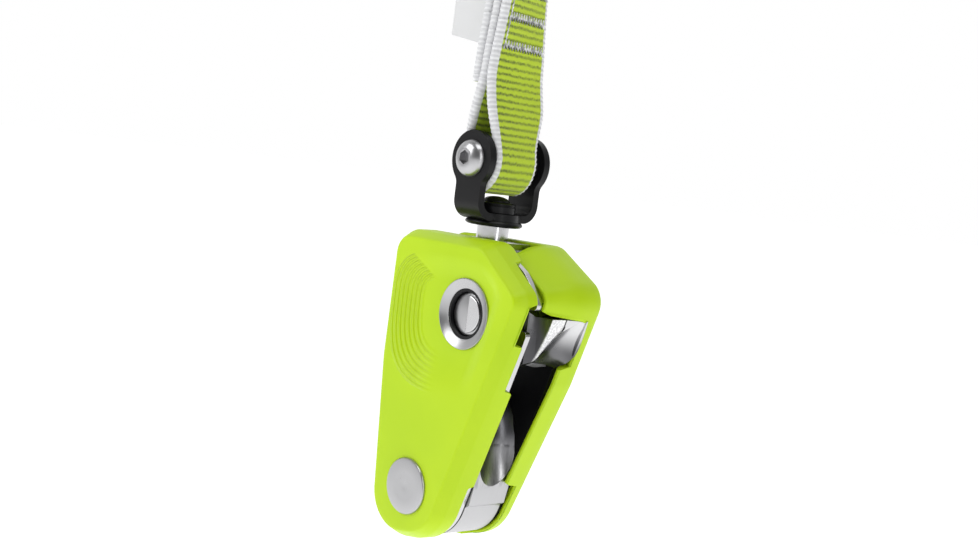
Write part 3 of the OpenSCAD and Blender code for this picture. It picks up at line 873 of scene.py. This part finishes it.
# %% Flange and collar of the swivel
def on_swivel(node, profile, material, z, steps=96):
    bm = moved(spun(profile, "Z", steps), SWIVEL.x, SWIVEL.y, z)
    finish_piece(node + "_turned", bm, material, BODY_OF[node], (node,))


flange_low, flange_high = mm_box("swivel_flange")
flange_tall = flange_high.z - flange_low.z
on_swivel("swivel_flange", [(3.1, 0), (7.6, 0), (8.7, 0.2), (9.25, 0.6), (9.4, 1.0), (9.25, 1.4),
                            (8.8, flange_tall), (3.1, flange_tall), (3.1, 0)],
          black_steel, flange_low.z)

collar_low, collar_high = mm_box("swivel_collar")
collar_tall = collar_high.z - collar_low.z
on_swivel("swivel_collar", [(3.1, 0), (6.3, 0), (6.55, 0.2), (6.55, collar_tall - 1.3),
                            (6.3, collar_tall - 1.1), (6.3, collar_tall - 0.95),
                            (6.5, collar_tall - 0.8), (6.4, collar_tall - 0.3),
                            (5.9, collar_tall), (3.1, collar_tall), (3.1, 0)],
          black_steel, collar_low.z)

# %% Dome and shaft of the swivel
on_swivel("swivel_dome", [(0, 0), (4.3, 0), (4.45, 0.15), (4.4, 0.5), (4.0, 1.0), (3.2, 1.5),
                          (2.0, 1.85), (0.9, 1.98), (0, 2.0)],
          black_steel, mm_box("swivel_dome")[0].z)

shaft_low, shaft_high = mm_box("swivel_shaft")
SHAFT_R = (shaft_high.x - shaft_low.x) / 2
on_swivel("swivel_shaft", [(0, shaft_low.z), (3.8, shaft_low.z), (4, shaft_low.z + 0.3),
                           (4, shaft_low.z + 5), (SHAFT_R, shaft_low.z + 5),
                           (SHAFT_R, flange_low.z), (3, flange_low.z), (3, shaft_high.z),
                           (0, shaft_high.z)],
          polished, 0, steps=72)

# %% [markdown]
# The button's face is in two levels: a plain turned disc, and on its right half a raised flat. The
# flat starts as a round face, which bisect_plane cuts across, and is then extruded.

# %% Push button
LAY_ALONG_Y = Matrix.Rotation(math.pi / 2, 3, "X")
button_low, button_high = mm_box("latch_button")
BUTTON_R = (button_high.x - button_low.x) / 2
FACE_Y = mm_box("button_cap")[0].y


def push_button():
    r = BUTTON_R
    bm = spun([(0, FACE_Y + 0.5), (r - 1.0, FACE_Y + 0.5), (r - 0.3, FACE_Y + 0.75),
               (r, FACE_Y + 1.3), (r, button_low.y + 1.8), (2.8, button_low.y + 1.8),
               (2.8, button_high.y), (0, button_high.y)], steps=72)
    geometry = bm.verts[:] + bm.edges[:] + bm.faces[:]
    bmesh.ops.bisect_plane(bm, geom=geometry, plane_co=(0.2, 0, 0), plane_no=(1, 0, 0), dist=0.0001)
    return moved(bm, LATCH.x, 0, LATCH.z)


finish_piece("latch_button_turned", push_button(), turned, "latch_button", ("latch_button",))


def raised_half():
    bm = bmesh.new()
    bmesh.ops.create_circle(bm, cap_ends=True, segments=64, radius=BUTTON_R - 1.1)
    bmesh.ops.rotate(bm, verts=bm.verts, cent=(0, 0, 0), matrix=LAY_ALONG_Y)
    geometry = bm.verts[:] + bm.edges[:] + bm.faces[:]
    bmesh.ops.bisect_plane(bm, geom=geometry, plane_co=(0.3, 0, 0), plane_no=(1, 0, 0),
                           dist=0.0001, clear_inner=True)
    made = bmesh.ops.extrude_face_region(bm, geom=bm.faces[:])["geom"]
    top = [g for g in made if isinstance(g, bmesh.types.BMVert)]
    bmesh.ops.translate(bm, verts=top, vec=(0, -0.75, 0))
    return moved(bm, LATCH.x, FACE_Y + 0.55, LATCH.z)


finish_piece("button_cap_half", raised_half(), polished, "latch_button", ("button_cap",),
             bevel=0.25)

# %% [markdown]
# The pin screw has a domed button head with a hexagon socket. The socket is a six-sided hole, so
# the spun head is opened by a ring of six and the space between is bridged.

# %% Pin screw
screw_low, screw_high = mm_box("pin_screw")


def pin_screw():
    bm = spun([(3.0, screw_low.y + 3.2), (5.9, screw_low.y + 3.2), (6.0, screw_low.y + 2.9),
               (5.8, screw_low.y + 2.1), (5.2, screw_low.y + 1.25), (4.3, screw_low.y + 0.55),
               (3.4, screw_low.y + 0.15), (2.75, screw_low.y)], steps=72)
    rim = [e for e in bm.edges if e.is_boundary and abs(e.verts[0].co.y - screw_low.y) < 0.01]
    hexagon = bmesh.ops.create_circle(bm, cap_ends=False, segments=6, radius=2.35)["verts"]
    bmesh.ops.rotate(bm, verts=hexagon, cent=(0, 0, 0), matrix=LAY_ALONG_Y)
    bmesh.ops.translate(bm, verts=hexagon, vec=(0, screw_low.y + 0.1, 0))
    six = [e for e in bm.edges if e.verts[0] in hexagon and e.verts[1] in hexagon]
    bmesh.ops.bridge_loops(bm, edges=rim + six)
    made = bmesh.ops.extrude_edge_only(bm, edges=six)["geom"]
    deep = [g for g in made if isinstance(g, bmesh.types.BMVert)]
    bmesh.ops.translate(bm, verts=deep, vec=(0, 2.2, 0))
    bmesh.ops.contextual_create(bm, geom=deep)
    shank = bmesh.ops.create_cone(bm, cap_ends=True, segments=48, radius1=3, radius2=3,
                                  depth=screw_high.y - screw_low.y - 3.0)["verts"]
    bmesh.ops.rotate(bm, verts=shank, cent=(0, 0, 0), matrix=LAY_ALONG_Y)
    bmesh.ops.translate(bm, verts=shank, vec=(0, middle(screw_low.y + 3.0, screw_high.y), 0))
    return moved(bm, PIN.x, 0, PIN.z)


finish_piece("pin_screw_turned", pin_screw(), turned, "fork", ("pin_screw",),
             smooth=30)

# %% [markdown]
# The sling is flat webbing: green ribs across, a white selvedge along each edge. It is one long
# ribbon that goes down round the fork's sleeve, up both legs, and round the top eye. The ribbon is
# made as a closed row of cross-sections along its route, then twisted as a whole about its own
# upright line. Its UV map runs in millimetres along the route and across the width, so the weave
# follows the cloth.

# %% The webbing's route
WEB_T, WEB_W = 3.1, 24.0
SLEEVE_R = (mm_box("pin_sleeve")[1].z - mm_box("pin_sleeve")[0].z) / 2
LOWER_R, UPPER_R = SLEEVE_R + WEB_T / 2 + 0.1, 10.55
SLACK = 1.0
MERGE = PIN.z + 29
SPLIT = EYE_Z - 22
TWIST = math.radians(14)
EYE_SPREAD = math.radians(14)
RING_SPACING = 0.45


def right_half():
    """The route from the bottom of the lower eye to the top of the upper eye, as (x, z)."""
    leave = EYE_SPREAD
    half = WEB_T / 2
    points = [Vector((LOWER_R * math.sin(a), PIN.z - (LOWER_R + SLACK) * math.cos(a)))
              for a in (k * math.pi / 2 / 18 for k in range(19))]
    points += [Vector((LOWER_R * math.cos(a), PIN.z + LOWER_R * math.sin(a)))
               for a in (k * leave / 4 for k in range(1, 5))]
    along = Vector((-math.sin(leave), math.cos(leave)))
    points += [hermite(points[22], along * 20, Vector((half, MERGE)), Vector((0, 18)), k / 16)
               for k in range(1, 17)]
    points += [Vector((half, MERGE + (SPLIT - MERGE) * k / 20)) for k in range(1, 21)]
    top = Vector((UPPER_R * math.cos(leave), EYE_Z - UPPER_R * math.sin(leave)))
    points += [hermite(Vector((half, SPLIT)), Vector((0, 12)), top,
                       Vector((math.sin(leave), math.cos(leave))) * 20, k / 16)
               for k in range(1, 17)]
    points += [Vector((UPPER_R * math.cos(a), EYE_Z + UPPER_R * math.sin(a)))
               for a in (-leave + k * (math.pi / 2 + leave) / 24 for k in range(1, 25))]
    return points


def evenly(points, spacing):
    lengths = [0.0]
    for a, b in zip(points, points[1:]):
        lengths.append(lengths[-1] + (b - a).length)
    count = round(lengths[-1] / spacing)
    spots, i = [], 0
    for k in range(count + 1):
        goal = lengths[-1] * k / count
        while i < len(points) - 2 and lengths[i + 1] < goal:
            i += 1
        share = (goal - lengths[i]) / (lengths[i + 1] - lengths[i])
        spots.append(points[i].lerp(points[i + 1], share))
    return spots


HALF_ROUTE = evenly(right_half(), RING_SPACING)
ROUTE = HALF_ROUTE + [Vector((-p.x, p.y)) for p in reversed(HALF_ROUTE[1:-1])]
print("webbing route has", len(ROUTE), "rings")

# %% [markdown]
# Real ribs stand proud of the cloth, so they are in the mesh as well as in the bump: the thickness
# swells with each rib and falls away at the selvedge, which has its own finer knots.

# %% Webbing
RIB = 2.2
SELVEDGE = 1.9
KNOT = 1.5


def cross_section():
    """Corners of the ribbon's section as (across, out)."""
    corners = []
    half, steps = WEB_W / 2, 22
    for side in (1, -1):
        for k in range(steps + 1):
            across = half * side * (1 - 2 * k / steps)
            near = min(1.0, (half - abs(across)) / 1.5)
            out = side * (WEB_T / 2) * (0.45 + 0.55 * math.sqrt(max(0.0, 1 - (1 - near) ** 2)))
            corners.append((across, out))
    return corners


def twist_at(z):
    return TWIST * smoothstep(MERGE - 8, MERGE + 30, z)


def waisted(across, z):
    """The webbing is pressed narrower and towards the screw's side inside the fork."""
    pressed = 1 - smoothstep(PIN.z + 2, PIN.z + 19, z)
    return across * (1 - 0.27 * pressed) - 1.45 * pressed


def twisted(x, y, z, twist_z):
    """A point beside the pin's upright line, turned by the twist at height twist_z."""
    angle = twist_at(twist_z)
    return Vector((PIN.x + x * math.cos(angle) - y * math.sin(angle),
                   PIN.y + x * math.sin(angle) + y * math.cos(angle), z))


def ribbon_ring(spot, ahead, length, section):
    tangent = (ahead - spot).normalized()
    normal = Vector((tangent.y, -tangent.x))
    phase = math.sin(math.pi * length / RIB) ** 2
    ring = []
    for across, out in section:
        near_edge = WEB_W / 2 - abs(across) < SELVEDGE
        knots = 0.16 * math.sin(math.tau * length / KNOT) if near_edge else 0.0
        swell = 1 + (0.0 if near_edge else 0.11 * (phase - 0.6)) + 0.4 * knots
        x = spot.x + normal.x * out * swell
        z = spot.y + normal.y * out * swell
        y = waisted(across, spot.y) + (knots * math.copysign(0.7, across) if near_edge else 0)
        ring.append(twisted(x, y, z, spot.y))
    return ring


def lay_uv(bm, lengths, section):
    layer = bm.loops.layers.uv.new("cloth")
    width = len(section)
    bm.verts.index_update()
    for face in bm.faces:
        rows = [loop.vert.index // width for loop in face.loops]
        wraps = max(rows) - min(rows) > 1
        for loop, row in zip(face.loops, rows):
            run = lengths[row] if not (wraps and row == 0) else lengths[-1]
            loop[layer].uv = (run, section[loop.vert.index % width][0])


def webbing():
    section = cross_section()
    lengths = [0.0]
    for a, b in zip(ROUTE, ROUTE[1:] + ROUTE[:1]):
        lengths.append(lengths[-1] + (b - a).length)
    bm = bmesh.new()
    rings = [ribbon_ring(spot, ROUTE[(i + 1) % len(ROUTE)], lengths[i], section)
             for i, spot in enumerate(ROUTE)]
    edges, corners = shell(bm, rings)
    close_loop(bm, corners, len(section))
    lay_uv(bm, lengths, section)
    return bm, lengths[-1]


def web_finish():
    finish = Finish("ribbed_webbing", Roughness=0.8, Sheen_Weight=0.2, Sheen_Roughness=0.5)
    run, across, _ = finish.axes(finish.uv())
    wobble = finish.noise(0.5, 3, 0.6, (0.5, 1.4, 1), finish.uv())
    rib = ((run / RIB + 0.55 * (wobble - 0.5)).fraction() - 0.5).absolute() * 2
    gap = rib.ramp(0.35, 0.9)
    yarn = ((across / 0.55 + 0.4 * wobble).fraction() - 0.5).absolute() * 2
    speckle = finish.noise(1.1, 4, 0.7, (0.6, 2.2, 1), finish.uv()).ramp(0.38, 0.62)
    # Painted shade: the gaps between the ribs are darkened with random speckle, and more towards one
    # edge of the width.
    shade = (across + 4 * (wobble - 0.5)).ramp(-WEB_W / 2, 4, 1, 0)
    green = finish.mix(yarn.ramp(0.5, 1.0) * 0.55, (0.50, 0.66, 0.014), (0.29, 0.42, 0.008))
    depth = gap * (0.3 + 0.5 * speckle + 0.3 * shade)
    green = finish.mix(depth, green, (0.085, 0.125, 0.012))
    edge = across.absolute()
    selvedge = edge.ramp(WEB_W / 2 - SELVEDGE - 0.25, WEB_W / 2 - SELVEDGE + 0.05)
    knot = (((run / KNOT + 0.2 * wobble).fraction() - 0.5).absolute() * 2).ramp(0.1, 1.0)
    white = finish.mix(knot, (0.62, 0.625, 0.64), (0.8, 0.805, 0.82))
    finish.set(Base_Color=finish.mix(selvedge, green, white))
    weave = (1 - gap) * 0.7 + (1 - yarn) * 0.3 * (1 - selvedge) + knot * selvedge * 0.6
    fuzz = finish.noise(1.6, 3, 0.7, (1, 1, 1), finish.uv())
    finish.set(Normal=finish.bump(weave + 0.3 * fuzz, 0.8, 0.0003))
    return finish.material


web_bm, web_length = webbing()
web_material = web_finish()
sling = finish_piece("webbing_sling", web_bm, web_material, "sling", ("sling",),
                     smooth=60)
print("webbing length", round(web_length, 1), "mm")

# %% [markdown]
# The webbing's free end lies along the back of the sewn stretch, cut square and sealed.

# %% Free end of the webbing
TAIL_BELOW, TAIL_ABOVE = 12.5, 21
TAIL_ROWS = 70


def web_tail():
    section = cross_section()
    label_foot = mm_box("sling_label")[0].z
    low, high = label_foot - TAIL_BELOW, label_foot + TAIL_ABOVE
    count = TAIL_ROWS
    spots = [Vector((-WEB_T * 1.5 - 0.05, low + (high - low) * k / count)) for k in range(count + 1)]
    lengths = [high - spot.y for spot in spots]
    rings = []
    for k, spot in enumerate(spots):
        closeness = min(k, count - k)
        squeeze = 0.55 + 0.45 * min(1.0, closeness / 3)
        narrow = 0.985 if closeness == 0 else 1
        shrunk = [(across * narrow, out * squeeze) for across, out in section]
        rings.append(ribbon_ring(spot, spot + Vector((0, 1)), lengths[k], shrunk))
    bm = bmesh.new()
    shell(bm, rings)
    bm.verts.ensure_lookup_table()
    lay_uv(bm, lengths, section)
    width = len(section)
    for start in (0, count * width):
        bm.faces.new([bm.verts[start + i] for i in range(width)])
    return bm


tail = finish_piece("webbing_tail", web_tail(), web_material, "sling", (),
                    smooth=60)

# %% [markdown]
# Bar-tacks hold the layers together: a thick zigzag of white thread across the webbing. Each is one
# thread swept along a zigzag that rises and sinks in the cloth. A line of stitches joins the rows.

# %% Bar-tacks
THREAD_R = 0.28
LINE_Y, LINE_STEP, LINE_STITCHES = -8.9, 0.62, 30
TACK_ROWS = [mm_box("sling_bar_tacks")[0].z + 1.3 + 9 * row for row in range(3)]


def tube(bm, points, radius, sides=6):
    rings = []
    for i, point in enumerate(points):
        ahead = points[min(i + 1, len(points) - 1)] - points[max(i - 1, 0)]
        side = ahead.normalized().orthogonal().normalized()
        rise = ahead.normalized().cross(side)
        rings.append([point + (side * math.cos(a) + rise * math.sin(a)) * radius
                      for a in (math.tau * k / sides for k in range(sides))])
    edges, corners = shell(bm, rings)
    bm.faces.new(corners)


def tack_points(side_x, z, width, height, pitch):
    points = []
    count = round(width / pitch)
    for k in range(count + 1):
        y = -width / 2 + width * k / count
        swing = height / 2 if k % 2 else -height / 2
        for share, lift in ((-0.86, 0.1), (0.0, 0.3)):
            if k == 0 and share < 0:
                continue
            yy = y + share * 0.5 * width / count
            zz = z + swing * (1 if share == 0 else -0.1)
            x = side_x + math.copysign(lift, side_x)
            points.append(twisted(x, yy, zz, z))
    return points


def bar_tacks():
    bm = bmesh.new()
    for side_x in (WEB_T, -2 * WEB_T):
        for z in TACK_ROWS:
            tube(bm, tack_points(side_x, z, 19.0, 2.7, 0.68), THREAD_R)
        line = []
        for k in range(LINE_STITCHES + 1):
            z = TACK_ROWS[0] + k * LINE_STEP
            x = side_x + math.copysign(0.28 if k % 2 else 0.02, side_x)
            line.append(twisted(x, LINE_Y, z, z))
        tube(bm, line, THREAD_R * 0.9)
    return bm


def thread_finish():
    finish = Finish("white_thread", Roughness=0.62, Sheen_Weight=0.3)
    finish.set(Base_Color=finish.mix(finish.noise(700, 2).ramp(0.35, 0.65), (0.34, 0.35, 0.38),
                                     (0.86, 0.87, 0.88)))
    finish.set(Normal=finish.bump(finish.noise(3500, 2), 0.4, 0.00005))
    return finish.material


finish_piece("bar_tack_threads", bar_tacks(), thread_finish(), "sling", ("sling_bar_tacks",),
             smooth=60)

# %% [markdown]
# A small flag label is sewn in between the layers. It is one sheet with a slight curl, made from a
# grid and given its thickness with solidify, and it stays plain.

# %% Flag label
label_low, label_high = mm_box("sling_label")
LABEL_W, LABEL_SLANT = 14.0, 2.5


def flag_label():
    bm = bmesh.new()
    bmesh.ops.create_grid(bm, x_segments=14, y_segments=20, size=0.5)
    layer = bm.loops.layers.uv.new("cloth")
    for face in bm.faces:
        for loop in face.loops:
            loop[layer].uv = (loop.vert.co.x * 14, loop.vert.co.y * 21)
    tall = label_high.z - label_low.z - LABEL_SLANT
    for corner in bm.verts:
        share = corner.co.x + 0.5
        z = label_low.z + (corner.co.y + 0.5) * tall + LABEL_SLANT * share
        curl = 0.9 * share ** 2 * math.sin(2.2 * (corner.co.y + 0.6))
        x, y = -WEB_T * 2 + 1.0 - LABEL_W * share, -WEB_W / 2 + 1.7 + curl
        corner.co = twisted(x, y, z, z)
    bmesh.ops.solidify(bm, geom=bm.faces[:], thickness=0.45)
    return bm


def label_finish():
    finish = Finish("plain_label", Roughness=0.6, Sheen_Weight=0.1)
    run, across, _ = finish.axes(finish.uv())
    warp = ((run / 0.3).fraction() - 0.5).absolute() * 2
    weft = ((across / 0.3).fraction() - 0.5).absolute() * 2
    weave = warp * 0.5 + weft * 0.5
    finish.set(Base_Color=finish.mix(weave, (0.6, 0.605, 0.61), (0.68, 0.685, 0.69)))
    finish.set(Normal=finish.bump(weave, 0.25, 0.00006))
    return finish.material


label = finish_piece("flag_label", flag_label(), label_finish(), "sling", ("sling_label",),
                     smooth=60)
